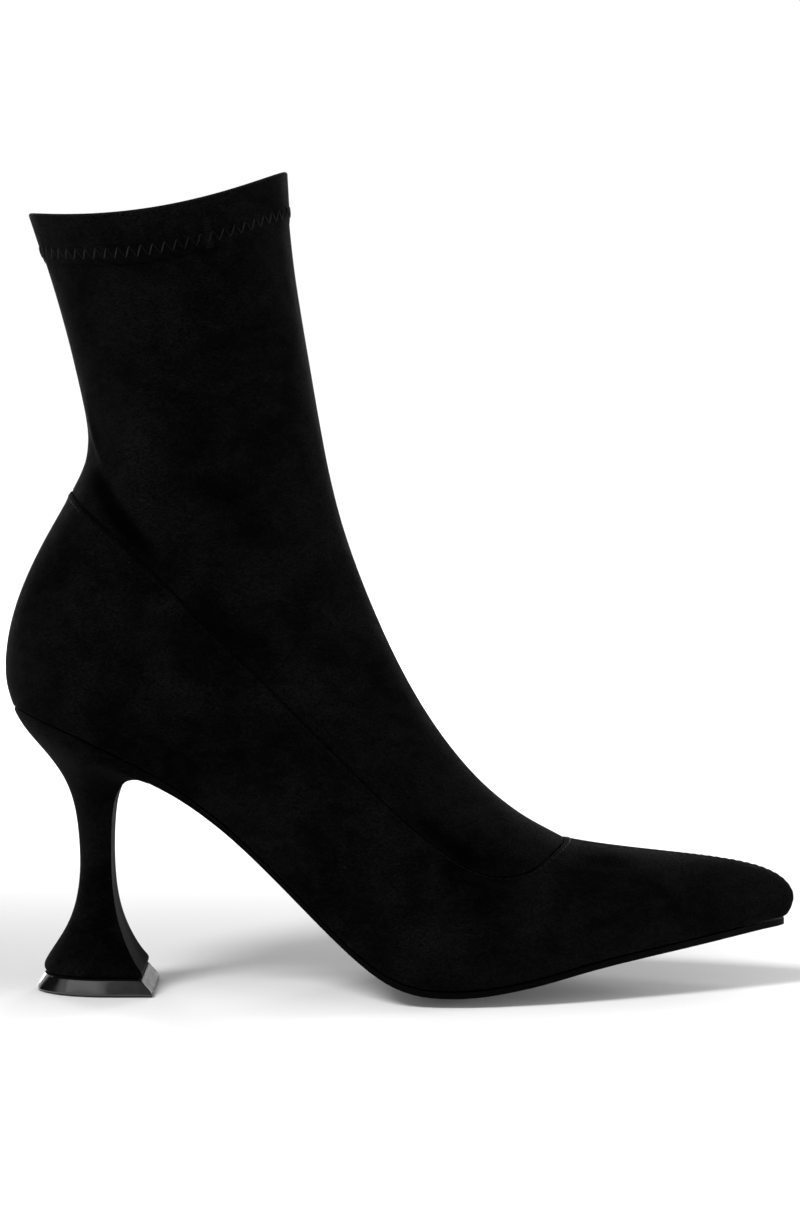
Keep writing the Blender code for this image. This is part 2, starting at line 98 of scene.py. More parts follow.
# Stitches
ZIGZAG_PITCH = 3.8
ZIGZAG_HIGH = 3.5
ZIGZAG_BELOW = 9.7        # top of the zigzag below the collar edge
ZIGZAG_THREAD = 0.28      # radius
ZIGZAG_LIFT = 0.08        # how far the thread stands out of the skin
ZIGZAG_FADE = 0.75        # how much of its painted glint is lost toward the front
ZIGZAG_FADE_X = (-78, -58)
ZIGZAG_AWAY = 0.1         # painted glint left on the legs that slant away from the lamp
TACK_BELOW = 5.6          # top of the bar tack below the collar edge
TACK_HIGH = 9.2
TACK_WIDE = 2.8
TACK_THREAD = 0.15
TACK_LIFT = 0.03
# painted glint on the bar tack's thread
TACK_LIGHT = 0.3
TACK_STEP = 0.62          # from thread to thread
TACK_SLANT = 0.3
TACK_X = -57.6
EDGE_STITCH = 2.4         # pitch along the seam and the toe
EDGE_THREAD = 0.2
EDGE_INSET = 1.1          # from the upper's edge
EDGE_GAP = 0.12           # share of the pitch between the end of a stitch and its hole
TOE_INSET = 1.15          # from the middle of the toe
TOE_GROOVE = 0.4          # depth of the toe seam
TOE_GROOVE_WIDE = 0.5
TOE_LIFT = -0.04          # the toe's threads lie a little sunk
TOE_GAP = 0.3             # between the end of a stitch and its hole
TOE_BARE = (3.0, 1.5)     # lengths left without stitches above and below

# Studio. The floor has painted shadow: the camera sees it a little greyer than it lights the boot,
# most in a band under and behind the boot.
FLOOR_SIZE = 30
FLOOR_GLOW = 0.04
FLOOR_WHITE = 0.995       # as it lights the boot
FLOOR_OPEN = 0.8          # as the camera sees it round the boot: painted shade deepening the shadows
FLOOR_BAND = 0.45         # the same in the middle of the painted shadow band
FLOOR_FAR = (0.5, 1.5)    # where that goes back to white, far from the boot
BAND_NEAR = (-0.06, 0.03)    # where the band comes and goes across the floor
BAND_FAR = (0.04, 0.42)
BAND_LEFT = (-0.34, -0.14)
BAND_RIGHT = (0.04, 0.2)
BAY_MIDDLE = -1.85        # bay on the left, in radians round from the camera
BAY_HALF = (0.3, 0.62)    # half width of its dark part and of all of it
BAY_CAMERA = (0.08, 0.3)  # the same of the bay behind the camera
BAY_CAMERA_LIGHT = 0.36   # light left in that one
BAY_TOP = (0.5, 0.85)     # where both end, as the height of a line of sight
CEILING = (0.2, 0.5)      # where the ceiling begins and is full
CEILING_LIGHT = 0.2
LAMP_TOWARD = (-0.67, -0.75, 1.0)
LAMP_ANGLE = 0.3          # how soft its shadows are
LAMP_STRENGTH = 3.5
CAMERA_PLACE = (-0.0003, -1.11, 0.204)
CAMERA_DOWN = 4.4         # degrees below level
CAMERA_FILM = 36
CAMERA_REACH = 3641 / 1209    # distance of the lens for each frame height

# aim: the point that a light faces. size: its width and height. power: in watts.
Light = namedtuple("Light", "name place aim size power")
LIGHTS = [
    Light("key_light", (-0.93, -1.24, 0.45), (-0.08, 0, 0.12), (1.6, 0.8), 3.8),
    Light("tip_light", (1.3, 0.25, 0.35), (0.1, 0, 0.05), (0.4, 0.4), 13),
    Light("right_light", (0.5, 1.45, 0.5), (0, 0, 0.15), (0.3, 0.9), 12.5),
    Light("left_light", (-0.7, 1.3, 0.5), (0, 0, 0.15), (0.3, 0.9), 10),
    Light("top_light", (0.15, 1.0, 1.3), (0.02, 0, 0.1), (1.0, 0.5), 4),
]

# Folds of the suede, placed in the side view by points x, z along each one.
# side: -1 outer, 1 inner. depth: below the skin, or above it where negative. width: half width.
FOLD_END = 0.12           # how far round a half wave a fold begins and ends
FOLD_POINTS = 40          # points that each one is measured from
FOLD_MIDDLE = (-2, 4)     # places across the boot between which a side's folds come in
Fold = namedtuple("Fold", "skin side depth width points")
FOLDS = [
    Fold("shaft", -1, -0.7, 1.0, [(-94.3, 177.5), (-92.8, 171.5), (-91.0, 166.4), (-88.5, 160.7)]),
    Fold("shaft", -1, 1.9, 3.0, [(-92.6, 161), (-87.1, 151.2), (-81.7, 143.6), (-74.5, 136.0)]),
    Fold("shaft", -1, -0.4, 3.0, [(-86.5, 158), (-81.0, 149), (-74.0, 141.0)]),
    Fold("shaft", -1, 0.5, 4.0, [(-78.0, 219), (-70.0, 218.6), (-62.0, 219)]),
    Fold("shaft", -1, 0.6, 6.0, [(-52.0, 142), (-42.0, 140), (-32.0, 141)]),
    Fold("shaft", -1, 1.2, 3.2, [(4.0, 58), (12.0, 51.0), (21.0, 45.0), (28.0, 42.5)]),
    Fold("shaft", -1, -0.5, 4.5, [(16.0, 56), (26.0, 50), (36.0, 46.0)]),
    Fold("upper", -1, 0.7, 1.6, [(55.0, 41.5), (62.0, 41.2), (70.0, 40.6)]),
    Fold("shaft", 1, 1.4, 4.2, [(-92.0, 160), (-86.0, 151), (-78.0, 142)]),
    Fold("shaft", 1, 0.9, 3.4, [(4.0, 58), (13.0, 50.5), (24.0, 44.5)]),
]

# Places where the nap lies lighter or darker, with painted highlights along the shin, the counter's back, the
# collar and the ankle fold, and painted shade on the instep.
# x, z: middle. long, wide: half sizes along and across. turn: in degrees.
# shade: lighter above 0, darker below.
LieAndPaintedLight = namedtuple("LieAndPaintedLight", "x z long wide turn shade")
LIE_AND_PAINTED_LIGHT = [
    LieAndPaintedLight(-77, 215, 16, 6, 0, 0.5), LieAndPaintedLight(-80, 168, 9, 13, 0, 0.45),
    LieAndPaintedLight(-48, 170, 14, 26, 0, -0.4), LieAndPaintedLight(-50, 112, 22, 5, -45, -0.45),
    LieAndPaintedLight(-89, 119, 14, 6, 0, 0.5), LieAndPaintedLight(-64, 91, 12, 5, -10, 0.3),
    LieAndPaintedLight(-69, 73, 20, 7, -15, -0.5), LieAndPaintedLight(-31, 98, 14, 8, -50, 0.3),
    LieAndPaintedLight(-3, 95, 16, 5, -58, -0.4), LieAndPaintedLight(-7, 65, 20, 12, -45, 0.35),
    LieAndPaintedLight(-20, 34, 14, 7, -45, -0.5), LieAndPaintedLight(10, 22, 14, 5, 0, 0.4),
    LieAndPaintedLight(16, 44, 12, 5, -25, -0.6), LieAndPaintedLight(27, 32, 9, 5, -10, -0.6),
    LieAndPaintedLight(4, 37, 5, 6, 0, -0.5), LieAndPaintedLight(60, 40, 10, 4, -5, -0.3),
    LieAndPaintedLight(82, 40, 12, 4, -6, 0.5), LieAndPaintedLight(50, 24, 20, 5, 0, 0.3),
    LieAndPaintedLight(100, 28, 16, 8, 0, 0.3), LieAndPaintedLight(-44, 84, 18, 10, -45, -0.35),
    LieAndPaintedLight(-80, 238, 36, 7, 8, 0.8), LieAndPaintedLight(-72, 200, 40, 45, 0, 0.15),
    LieAndPaintedLight(-25.3, 180, 26, 4, 100, 1.6), LieAndPaintedLight(-119, 104, 22, 4, 90, 1.2),
    LieAndPaintedLight(-98, 182, 11, 2.5, 80, 1.6), LieAndPaintedLight(20, 69, 24, 4, -48, -0.5),
]


def smooth_step(low, high, value):
    """Smooth rise from 0 at the first limit to 1 at the second, which may be the smaller one."""
    part = np.clip((value - low) / (high - low), 0, 1)
    return part * part * (3 - 2 * part)


def let_down(points):
    """Points in millimetres with the edges of the ball let down toward the floor."""
    x, y, z = np.moveaxis(points, -1, 0)
    begin, full, hold, end = BALL_ALONG
    along = smooth_step(begin, full, x) * smooth_step(end, hold, x)
    across = np.clip((np.abs(y) - BALL_FLAT) / (BALL_HALF - BALL_FLAT), 0, 1) ** 2
    lower = points.copy()
    lower[..., 2] -= BALL_DOWN * along * across * smooth_step(BALL_UP[1], BALL_UP[0], z)
    return lower


# Modelling by hand
def select_only(piece):
    bpy.ops.object.select_all(action="DESELECT")
    piece.select_set(True)
    bpy.context.view_layer.objects.active = piece


def edit(piece):
    """Open one piece for editing with nothing selected in it."""
    select_only(piece)
    bpy.ops.object.mode_set(mode="EDIT")
    bpy.ops.mesh.select_mode(type="EDGE")
    bpy.ops.mesh.select_all(action="DESELECT")


def close_edit():
    bpy.ops.object.mode_set(mode="OBJECT")


def apply_modifier(piece, kind, **settings):
    """Add a modifier, set it and apply it."""
    select_only(piece)
    modifier = piece.modifiers.new(kind.lower(), kind)
    for name, value in settings.items():
        setattr(modifier, name, value)
    bpy.ops.object.modifier_apply(modifier=modifier.name)


def new_piece(name, points, faces):
    """Mesh object from points in metres."""
    mesh = bpy.data.meshes.new(name)
    mesh.from_pydata(np.asarray(points).reshape(-1, 3).tolist(), [], faces)
    mesh.update()
    piece = bpy.data.objects.new(name, mesh)
    bpy.context.scene.collection.objects.link(piece)
    return piece


def copy_of(node, name):
    """Merged copy of a CAD node with its flat triangles joined to quads."""
    piece = bpy.data.objects.new(name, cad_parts[node].data.copy())
    bpy.context.scene.collection.objects.link(piece)
    piece.data.materials.clear()
    edit(piece)
    bpy.ops.mesh.select_all(action="SELECT")
    bpy.ops.mesh.remove_doubles(threshold=SAME_POINT)
    bpy.ops.mesh.customdata_custom_splitnormals_clear()
    bend = math.radians(FLAT_JOIN)
    bpy.ops.mesh.tris_convert_to_quads(face_threshold=bend, shape_threshold=bend)
    close_edit()
    return piece


def softened_copy(node, name, width, segments, levels, roll=(0, 0)):
    """Copy of a CAD node with its hard edges rounded and its faces subdivided.

    Edges between the two heights of the roll are only subdivided.
    """
    piece = copy_of(node, name)
    edit(piece)
    bpy.ops.mesh.edges_select_sharp(sharpness=math.radians(HARD_EDGE))
    mesh = bmesh.from_edit_mesh(piece.data)
    for edge in mesh.edges:
        if all(roll[0] < vertex.co.z / MM < roll[1] for vertex in edge.verts):
            edge.select = False
    bmesh.update_edit_mesh(piece.data)
    bpy.ops.mesh.bevel(offset=width * MM, segments=segments, affect="EDGES", clamp_overlap=True)
    close_edit()
    apply_modifier(piece, "SUBSURF", levels=levels, render_levels=levels)
    return piece


def corners(piece):
    """Points in millimetres and normals of a piece's vertices."""
    vertices = piece.data.vertices
    points = np.array([vertex.co for vertex in vertices]) / MM
    return points, np.array([vertex.normal for vertex in vertices])


def place_corners(piece, points):
    """Put a piece's vertices at points in millimetres."""
    piece.data.vertices.foreach_set("co", (points * MM).astype(np.float32).ravel())
    piece.data.update()


def draw_lip(heel):
    """Draw the lip at the front of the heel's seat on to the sole, so that the one runs on into the other."""
    points, _ = corners(heel)
    seat = smooth_step(60, 63, points[:, 2])
    lower_edge = smooth_step(68.5, 66.5, points[:, 2]) * smooth_step(-81, -76.2, points[:, 0])
    front = smooth_step(-77.5, -76.2, points[:, 0])
    points[:, 2] += LIP_UP * seat * lower_edge
    points[:, 0] += LIP_FORWARD * seat * front
    place_corners(heel, points)


def lean_lift(lift):
    """Lean the lift's front and back in to the heel at the top and flare its back out at the foot."""
    points, _ = corners(lift)
    x, z = points[:, 0].copy(), points[:, 2]
    front_top = smooth_step(-81, -77, x) * smooth_step(1.5, 5.0, z)
    back_top = smooth_step(-104, -110, x) * smooth_step(2.5, 5.2, z)
    back_foot = smooth_step(-106, -111, x) * smooth_step(4.0, 0.8, z)
    points[:, 0] += LIFT_IN * (back_top / 2 - front_top) - LIFT_OUT * back_foot
    place_corners(lift, points)


def mark(piece, label, values):
    """Write one value for each vertex, for the finishes to use."""
    layer = piece.data.attributes.new(label, "FLOAT", "POINT")
    layer.data.foreach_set("value", np.asarray(values, np.float32).ravel())


def finish_piece(piece, slot, *materials, node=None):
    """Give a piece its materials, smooth shading and place on the boot."""
    for material in materials:
        piece.data.materials.append(material)
    piece.data.shade_smooth()
    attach(piece, "root")
    if node:
        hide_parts(node)
    return piece


# Skins: rows of points round the boot, read from the CAD shell
def walk(ways):
    """Takes one closed walk out of a table of neighbours."""
    start = next(iter(ways))
    path = [start]
    before = None
    while True:
        here = path[-1]
        step = next(vertex for vertex in ways.pop(here) if vertex is not before)
        before = here
        if step is start or step not in ways:
            return path
        path.append(step)


def outer_faces(mesh):
    """Faces of the outer skin of a shell, spread from its widest one up to the rims."""
    seed = max(mesh.faces, key=lambda face: face.normal.y * face.calc_center_median().y)
    outside = {seed}
    waiting = [seed]
    while waiting:
        for edge in waiting.pop().edges:
            for face in edge.link_faces:
                if face not in outside and edge.calc_face_angle(math.pi) < math.radians(SKIN_EDGE):
                    outside.add(face)
                    waiting.append(face)
    return outside


def lower_border(mesh, outside):
    """Ordered vertices of the lower border of a set of faces."""
    ways = {}
    for edge in mesh.edges:
        if sum(face in outside for face in edge.link_faces) == 1:
            for vertex in edge.verts:
                ways.setdefault(vertex, []).append(edge.other_vert(vertex))
    loops = []
    while ways:
        loops.append(walk(ways))
    return min(loops, key=lambda loop: sum(vertex.co.z for vertex in loop) / len(loop))


def aligned(row, before):
    """A loop of points turned and started so that it follows the row before it."""
    turns = [np.roll(line, -start, axis=0) for line in (row, row[::-1]) for start in range(len(row))]
    return min(turns, key=lambda turned: np.linalg.norm(turned - before, axis=1).sum())


def skin_rows(node):
    """Outer skin of a CAD shell: rows from its lower rim up, each from the back round by the outer side."""
    mesh = bmesh.new()
    mesh.from_mesh(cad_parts[node].data)
    bmesh.ops.remove_doubles(mesh, verts=mesh.verts, dist=SAME_POINT)
    outside = outer_faces(mesh)
    skin = {vertex for face in outside for vertex in face.verts}
    ring = lower_border(mesh, outside)
    seen = set(ring)
    points = np.array([vertex.co for vertex in ring])
    points = np.roll(points, -int(points[:, 0].argmin()), axis=0)
    if points[len(points) // 4, 1] > 0:
        points = np.roll(points[::-1], 1, axis=0)
    rows = [points]
    while True:
        above = {edge.other_vert(vertex) for vertex in ring for edge in vertex.link_edges}
        above = {vertex for vertex in above if vertex in skin and vertex not in seen}
        if not above:
            break
        ways = {}
        for vertex in above:
            beside = [edge.other_vert(vertex) for edge in vertex.link_edges]
            ways[vertex] = [other for other in beside if other in above]
        ring = walk(ways)
        seen.update(above)
        rows.append(aligned(np.array([vertex.co for vertex in ring]), rows[-1]))
    mesh.free()
    return np.array(rows)


def curve_weights(part):
    """Weights of four neighbours on a smooth curve between the middle two."""
    square, cube = part ** 2, part ** 3
    return (-0.5 * part + square - 0.5 * cube, 1 - 2.5 * square + 1.5 * cube,
            0.5 * part + 2 * square - 1.5 * cube, -0.5 * square + 0.5 * cube)


def surface(rows, up, around):
    """Points of a skin at rows `up` and columns `around`, which may lie between the CAD's own."""
    padded = np.concatenate([[2 * rows[0] - rows[1]], rows, [2 * rows[-1] - rows[-2]]])
    low = np.clip(np.floor(up).astype(int), 0, len(rows) - 2)
    tall = sum(weight[:, None, None] * padded[low + step]
               for step, weight in enumerate(curve_weights(up - low)))
    left = np.floor(around).astype(int)
    count = rows.shape[1]
    return sum(weight[None, :, None] * tall[:, (left + step - 1) % count]
               for step, weight in enumerate(curve_weights(around - left)))


def unit(vectors):
    return vectors / np.maximum(np.linalg.norm(vectors, axis=-1, keepdims=True), 1e-12)


def outward(points):
    """Outward normals of a grid that runs round the boot."""
    along = np.roll(points, -1, axis=1) - np.roll(points, 1, axis=1)
    return unit(np.cross(along, np.gradient(points, axis=0)))


def reach(points):
    """Length in millimetres up each column from its first row."""
    steps = np.linalg.norm(np.diff(points, axis=0), axis=2) / MM
    return np.concatenate([np.zeros((1, points.shape[1])), np.cumsum(steps, axis=0)])


def cut_back(points, amount):
    """A skin shortened by some millimetres at its first row, to leave room for a round rim."""
    lengths = reach(points)
    short = points.copy()
    for column in range(points.shape[1]):
        along = lengths[:, column]
        places = amount + along * (1 - amount / along[-1])
        for axis in range(3):
            short[:, column, axis] = np.interp(places, along, points[:, column, axis])
    return short


def folds_in(points, skin):
    """How far each point of a skin sinks into its folds, in millimetres."""
    sunk = np.zeros(points.shape[:2])
    flat = points.reshape(-1, 3) / MM
    for fold in FOLDS:
        if fold.skin != skin:
            continue
        ends = np.array(fold.points)
        stops = np.concatenate([[0], np.cumsum(np.linalg.norm(np.diff(ends, axis=0), axis=1))])
        fine = np.linspace(0, stops[-1], FOLD_POINTS)
        track = np.stack([np.interp(fine, stops, ends[:, 0]), np.interp(fine, stops, ends[:, 1])], -1)
        gaps = np.linalg.norm(flat[:, None, [0, 2]] - track[None], axis=2)
        along = fine[gaps.argmin(axis=1)] / stops[-1]
        depth = fold.depth * np.sin(np.pi * (FOLD_END + (1 - 2 * FOLD_END) * along))
        across = np.exp(-(gaps.min(axis=1) / fold.width) ** 2)
        on_side = smooth_step(*FOLD_MIDDLE, flat[:, 1] * fold.side)
        sunk += (depth * across * on_side).reshape(sunk.shape)
    return sunk


def lie_and_painted_light_at(points):
    """Lighter and darker lie of the nap, with its painted highlights and shade, at each point of a skin."""
    shade = np.zeros(points.shape[:2])
    for place in LIE_AND_PAINTED_LIGHT:
        turn = math.radians(place.turn)
        x, z = points[..., 0] / MM - place.x, points[..., 2] / MM - place.z
        along = x * math.cos(turn) + z * math.sin(turn)
        across = z * math.cos(turn) - x * math.sin(turn)
        shade += place.shade * np.exp(-(along / place.long) ** 2 - (across / place.wide) ** 2)
    return shade


# over: how far a rim rounds over. shade: painted shade in it, 0 to 1. lie: painted light in it.
Rim = namedtuple("Rim", "over shade lie")


def wall(points, thick, low_rim, high_rim):
    """Closed wall of a skin: up its outer face, over the upper rim, down inside and round the lower rim."""
    inner = points - thick * MM * outward(points)
    turns = np.linspace(0, math.pi, RIM_STEPS + 2)[1:-1]

    def rim(edge, before, inner_edge, round_over):
        middle = (edge + inner_edge) / 2
        beyond = unit(edge - before) * round_over * MM
        return [middle + (edge - middle) * math.cos(turn) + beyond * math.sin(turn) for turn in turns]

    top = rim(points[-1], points[-2], inner[-1], high_rim)
    bottom = rim(points[0], points[1], inner[0], low_rim)
    return np.concatenate([points, top, inner[::-1], bottom[::-1]])


def suede_shell(name, points, thick, rims, hollow_shade):
    """Wall of a skin as a closed mesh that runs round both ways, with its lining marked.

    Its marks carry its painted shade, and the lie of its nap with painted light.
    """
    low_rim, high_rim = rims
    grid = wall(points, thick, low_rim.over, high_rim.over)
    rows, columns = grid.shape[:2]
    index = np.arange(rows * columns).reshape(rows, columns)
    after = np.roll(index, -1, axis=1)
    faces = np.stack([index, after, np.roll(after, -1, axis=0), np.roll(index, -1, axis=0)], -1)
    piece = new_piece(name, grid, faces.reshape(-1, 4).tolist())
    inside = np.zeros((rows, columns), np.int32)
    inside[len(points) + RIM_STEPS:2 * len(points) + RIM_STEPS - 1] = 1
    piece.data.polygons.foreach_set("material_index", inside.ravel())
    for label, values in (("hollow_shade", hollow_shade), ("lie_and_painted_light", lie_and_painted_light_at(points))):
        marks = np.zeros((rows, columns), np.float32)
        marks[:len(points)] = values
        if label == "lie_and_painted_light":
            marks[len(points):len(points) + RIM_STEPS] = high_rim.lie
        else:
            marks[len(points) + 1:len(points) + RIM_STEPS] = high_rim.shade
            marks[len(points)] = high_rim.shade / 2
            marks[-RIM_STEPS:-1] = low_rim.shade
            marks[-1] = low_rim.shade / 2
        mark(piece, label, marks)
    return piece


# Shader node helpers
def grouped(name, inputs, outputs):
    """Empty shader node group with named sockets."""
    group = bpy.data.node_groups.new(name, "ShaderNodeTree")
    for label, kind in inputs:
        group.interface.new_socket(name=label, in_out="INPUT", socket_type=kind)
    for label, kind in outputs:
        group.interface.new_socket(name=label, in_out="OUTPUT", socket_type=kind)
    return group, group.nodes.new("NodeGroupInput"), group.nodes.new("NodeGroupOutput")


def noise(tree, place, scale, detail, rough, distortion=0.0):
    node = tree.nodes.new("ShaderNodeTexNoise")
    values = {"Scale": scale, "Detail": detail, "Roughness": rough, "Distortion": distortion}
    for label, value in values.items():
        node.inputs[label].default_value = value
    tree.links.new(place, node.inputs["Vector"])
    return node.outputs["Fac"]


def stretched(tree, place, scale):
    node = tree.nodes.new("ShaderNodeMapping")
    node.inputs["Scale"].default_value = scale
    tree.links.new(place, node.inputs["Vector"])
    return node.outputs["Vector"]


def ranged(tree, value, low, high, to_low, to_high):
    node = tree.nodes.new("ShaderNodeMapRange")
    node.interpolation_type = "SMOOTHSTEP"
    limits = {"From Min": low, "From Max": high, "To Min": to_low, "To Max": to_high}
    for label, number in limits.items():
        node.inputs[label].default_value = number
    tree.links.new(value, node.inputs["Value"])
    return node.outputs["Result"]


def figure(tree, operation, first, second):
    node = tree.nodes.new("ShaderNodeMath")
    node.operation = operation
    for socket, value in zip(node.inputs, (first, second)):
        if isinstance(value, (int, float)):
            socket.default_value = value
        else:
            tree.links.new(value, socket)
    return node.outputs[0]


def attribute(tree, name):
    node = tree.nodes.new("ShaderNodeAttribute")
    node.attribute_name = name
    return node.outputs["Fac"]


def object_place(tree):
    return tree.nodes.new("ShaderNodeTexCoord").outputs["Object"]


def new_material(name, **values):
    """Material with the shader's own values set."""
    material = bpy.data.materials.new(name)
    material.use_nodes = True
    shader = material.node_tree.nodes["Principled BSDF"]
    for label, value in values.items():
        shader.inputs[label.replace("_", " ")].default_value = value
    return material, material.node_tree, shader


def bumped(tree, shader, height, distance, strength):
    node = tree.nodes.new("ShaderNodeBump")
    node.inputs["Distance"].default_value = distance
    node.inputs["Strength"].default_value = strength
    tree.links.new(height, node.inputs["Height"])
    tree.links.new(node.outputs["Normal"], shader.inputs["Normal"])


def coloured(tree, shader, value, dark, light):
    """Base colour between two tones."""
    node = tree.nodes.new("ShaderNodeMix")
    node.data_type = "RGBA"
    node.clamp_factor = False
    colours = [socket for socket in node.inputs if socket.type == "RGBA"]
    colours[0].default_value = (*dark, 1)
    colours[1].default_value = (*light, 1)
    tree.links.new(value, node.inputs[0])
    result = next(socket for socket in node.outputs if socket.type == "RGBA")
    tree.links.new(result, shader.inputs["Base Color"])


# Finishes
def nap_and_light_group():
    """Nap: cloudy light and dark places, short fibres and a little lint, with painted light and shade.

    The lie and rim inputs add painted light and the hollow input lays painted shade.
    """
    number = "NodeSocketFloat"
    inputs = [("Vector", "NodeSocketVector"), ("Lie", number), ("Hollow", number), ("Rim_Light", number)]
    outputs = [("Shade", number), ("Fibre", number), ("Rough", number)]
    group, given, made = grouped("nap_with_painted_light", inputs, outputs)
    place = given.outputs["Vector"]
    wide = ranged(group, noise(group, place, 42, 4, 0.6, 0.6), 0.34, 0.66, -0.36, 0.36)
    patch = noise(group, stretched(group, place, (1, 1, 1.7)), 170, 4, 0.65, 0.8)
    patch = ranged(group, patch, 0.34, 0.66, -0.22, 0.22)
    fibre = noise(group, stretched(group, place, (1, 1, 2.2)), 1300, 4, 0.7, 0.3)
    grain = ranged(group, fibre, 0.3, 0.7, 0.1, 1.9)
    lie = figure(group, "MULTIPLY", given.outputs["Lie"], 0.9)
    cloud = figure(group, "ADD", figure(group, "ADD", wide, patch), figure(group, "ADD", lie, 1.0))
    cloud = figure(group, "MAXIMUM", cloud, 0.25)
    # Painted shade falls in hollows, and the painted rim highlight is added to the tone.
    out_of_shade = ranged(group, given.outputs["Hollow"], 0, 1, 1, 0.1)
    lint = ranged(group, noise(group, place, 560, 2, 0.5), 0.745, 0.80, 0, 2.5)
    lit = figure(group, "ADD", cloud, given.outputs["Rim_Light"])
    tone = figure(group, "MULTIPLY", figure(group, "MULTIPLY", lit, grain), out_of_shade)
    group.links.new(figure(group, "ADD", tone, lint), made.inputs["Shade"])
    group.links.new(fibre, made.inputs["Fibre"])
    group.links.new(ranged(group, cloud, 0.4, 1.6, 1.0, 0.85), made.inputs["Rough"])
    return group


nap_and_light = nap_and_light_group()


def suede():
    """Black suede with painted light and shade: a rim highlight where it turns from view, and its marks."""
    material, tree, shader = new_material(
        "black_suede", Sheen_Weight=0.009, Sheen_Roughness=0.2, Sheen_Tint=(0.92, 0.94, 1.0, 1),
        Specular_IOR_Level=0.01)
    group = tree.nodes.new("ShaderNodeGroup")
    group.node_tree = nap_and_light
    tree.links.new(object_place(tree), group.inputs["Vector"])
    tree.links.new(attribute(tree, "lie_and_painted_light"), group.inputs["Lie"])
    tree.links.new(attribute(tree, "hollow_shade"), group.inputs["Hollow"])
    # Painted highlight: a thin rim of lighter colour where the surface turns away from view.
    facing = tree.nodes.new("ShaderNodeLayerWeight").outputs["Facing"]
    tree.links.new(ranged(tree, facing, 0.82, 1.0, 0.0, 28.0), group.inputs["Rim_Light"])
    coloured(tree, shader, group.outputs["Shade"], (0, 0, 0), (0.0015, 0.0015, 0.0015))
    tree.links.new(group.outputs["Rough"], shader.inputs["Roughness"])
    bumped(tree, shader, group.outputs["Fibre"], 0.0006, 0.9)
    return material


def lining_cloth():
    material, tree, shader = new_material("lining_cloth", Roughness=0.9, Specular_IOR_Level=0.1)
    weave = noise(tree, object_place(tree), 1400, 3, 0.5)
    coloured(tree, shader, weave, (0.001, 0.001, 0.001), (0.009, 0.009, 0.009))
    bumped(tree, shader, weave, 0.0003, 0.3)
    return material


def gloss_plastic(name, rough, gloss, coat):
    material, tree, shader = new_material(
        name, Specular_IOR_Level=gloss, Coat_Weight=coat, Coat_Roughness=0.05)
    haze = noise(tree, object_place(tree), 240, 3, 0.5)
    coloured(tree, shader, haze, (0.002, 0.002, 0.0022), (0.005, 0.005, 0.0055))
    tree.links.new(ranged(tree, haze, 0.3, 0.7, 0.7 * rough, 1.3 * rough), shader.inputs["Roughness"])
    bumped(tree, shader, haze, 0.0002, 0.03)
    return material


def lift_tread():
    material, tree, shader = new_material("lift_tread", Roughness=0.9, Specular_IOR_Level=0.01)
    grain = noise(tree, object_place(tree), 900, 3, 0.6)
    coloured(tree, shader, grain, (0.0005, 0.0005, 0.0005), (0.003, 0.003, 0.003))
    bumped(tree, shader, grain, 0.0003, 0.2)
    return material


def sole_sheet():
    """Satin sheet, with a painted highlight where its edge is marked."""
    material, tree, shader = new_material("sole_sheet", Roughness=0.5, Specular_IOR_Level=0.012)
    grain = noise(tree, object_place(tree), 700, 4, 0.6)
    paled = figure(tree, "ADD", ranged(tree, grain, 0.3, 0.7, 0.0, 0.03), attribute(tree, "painted_edge_light"))
    coloured(tree, shader, paled, (0.0005, 0.0005, 0.0005), (0.02, 0.02, 0.02))
    tree.links.new(ranged(tree, grain, 0.3, 0.7, 0.38, 0.56), shader.inputs["Roughness"])
    bumped(tree, shader, grain, 0.0003, 0.12)
    return material


def stitch_thread(name, gloss, light):
    """Thread with a painted glint: lighter where it is marked to catch the light."""
    material, tree, shader = new_material(name, Roughness=0.45, Specular_IOR_Level=gloss)
    twist = noise(tree, object_place(tree), 2500, 2, 0.5)
    caught = figure(tree, "MULTIPLY", twist, attribute(tree, "painted_glint"))
    coloured(tree, shader, caught, (0.0006, 0.0006, 0.0006), (light, light, light))
    bumped(tree, shader, twist, 0.0002, 0.3)
    return material


black_suede = suede()
lining = lining_cloth()
plastic = gloss_plastic("gloss_plastic", 0.13, 0.5, 0.3)
front_plastic = gloss_plastic("satin_plastic", 0.3, 0.009, 0.0)
tread = lift_tread()
sheet = sole_sheet()
hem_thread = stitch_thread("hem_thread", 0.03, 0.018)
seam_thread = stitch_thread("seam_thread", 0.02, 0.002)
toe_thread = stitch_thread("toe_thread", 0.06, 0.008)


# Upper and shaft
def seam_shade(edge):
    """Painted seam shade and stitch glint along an edge: less toward the top of the vamp."""
    return 1 - SEAM_FAINT * smooth_step(*SEAM_FAINT_X, edge[:, 0] / MM)


upper_rows = skin_rows("upper")
shaft_rows = skin_rows("shaft")
toe = upper_rows.shape[1] // 2
even = np.arange(2 * toe * COLUMNS_EACH) / COLUMNS_EACH
beside_toe = toe + np.arange(-TOE_FINE * TOE_EACH, TOE_FINE * TOE_EACH + 1) / TOE_EACH
around = np.unique(np.round(np.concatenate([even, beside_toe]), 4))
toe_at = int(np.abs(around - toe).argmin())

